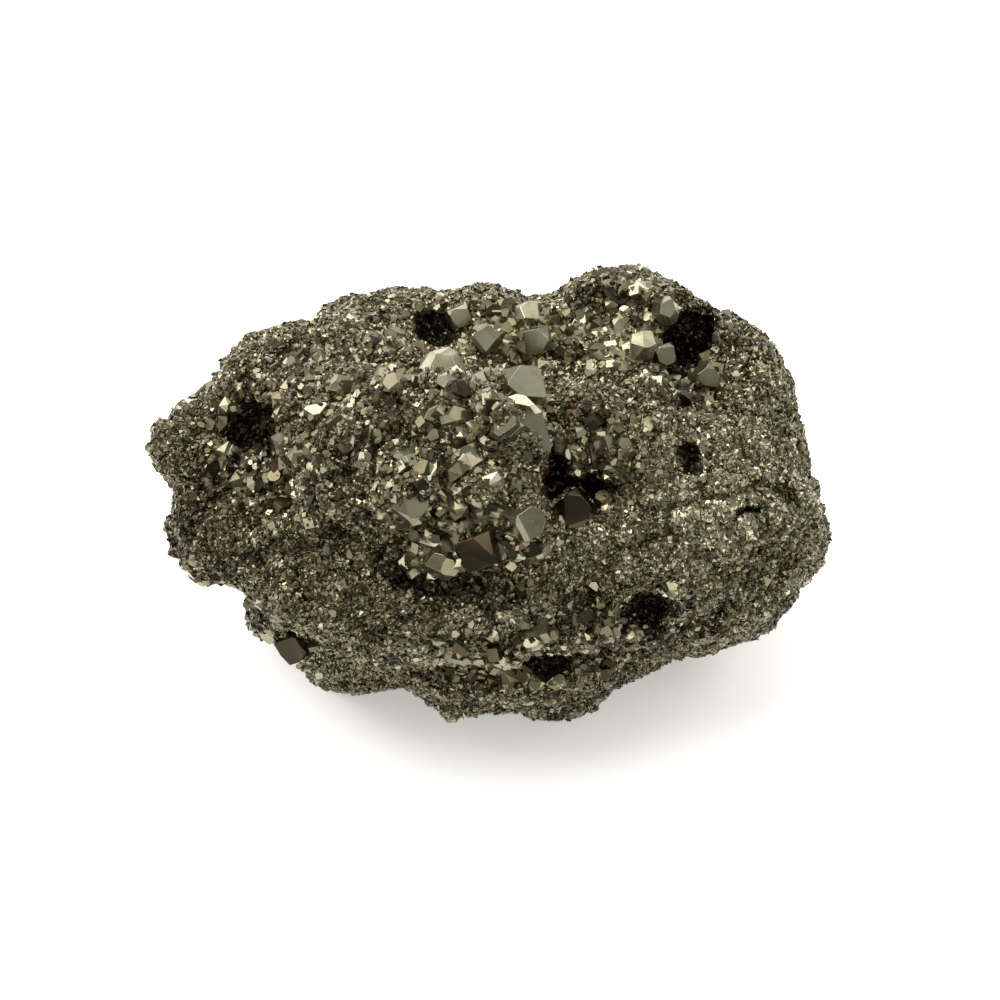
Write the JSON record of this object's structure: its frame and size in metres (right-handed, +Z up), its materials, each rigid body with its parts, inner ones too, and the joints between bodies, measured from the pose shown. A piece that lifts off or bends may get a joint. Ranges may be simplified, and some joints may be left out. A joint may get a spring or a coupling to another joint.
{
  "type": "pyrite specimen",
  "caption": "Hand-sized lump of druzy pyrite: a fine-grained sulphide mass with crystal-lined pockets and larger single crystals, resting on a broken base.",
  "frame": {"origin": "middle of the bounding box, on the plane of the broken patch that the lump rests on", "axes": "+X along the lump's length, to the right seen from the crystal face; +Y away from that side; +Z up. The crystal face looks along -Y and +Z, at 45 degrees."},
  "size_m": [0.0692, 0.0538, 0.0425],
  "materials": {
    "granular_pyrite": "natural fine druse: metallic lustre, olive-grey with brassy sparkles",
    "crystal_pyrite": "natural crystal faces: bright metallic lustre, pale brass, finely striated"
  },
  "bodies": {
    "root": {"pyrite_mass": "granular_pyrite", "basin_crystal_bright": "crystal_pyrite", "basin_crystal_far_left": "crystal_pyrite", "basin_crystal_left": "crystal_pyrite", "basin_crystal_middle": "crystal_pyrite", "basin_crystal_right": "crystal_pyrite", "basin_edge_crystal": "crystal_pyrite", "brow_crystal": "crystal_pyrite", "cleft_crystal": "crystal_pyrite", "crown_blade_left": "crystal_pyrite", "crown_blade_right": "crystal_pyrite", "crown_crystal": "crystal_pyrite", "dome_foot_crystal": "crystal_pyrite", "foot_crystal": "crystal_pyrite", "groove_crystal_left": "crystal_pyrite", "groove_crystal_middle": "crystal_pyrite", "groove_crystal_right": "crystal_pyrite", "pocket_crystal_lower": "crystal_pyrite", "pocket_crystal_upper": "crystal_pyrite", "shield_crystal": "crystal_pyrite", "spur_crystal": "crystal_pyrite"}
  },
  "joints": []
}
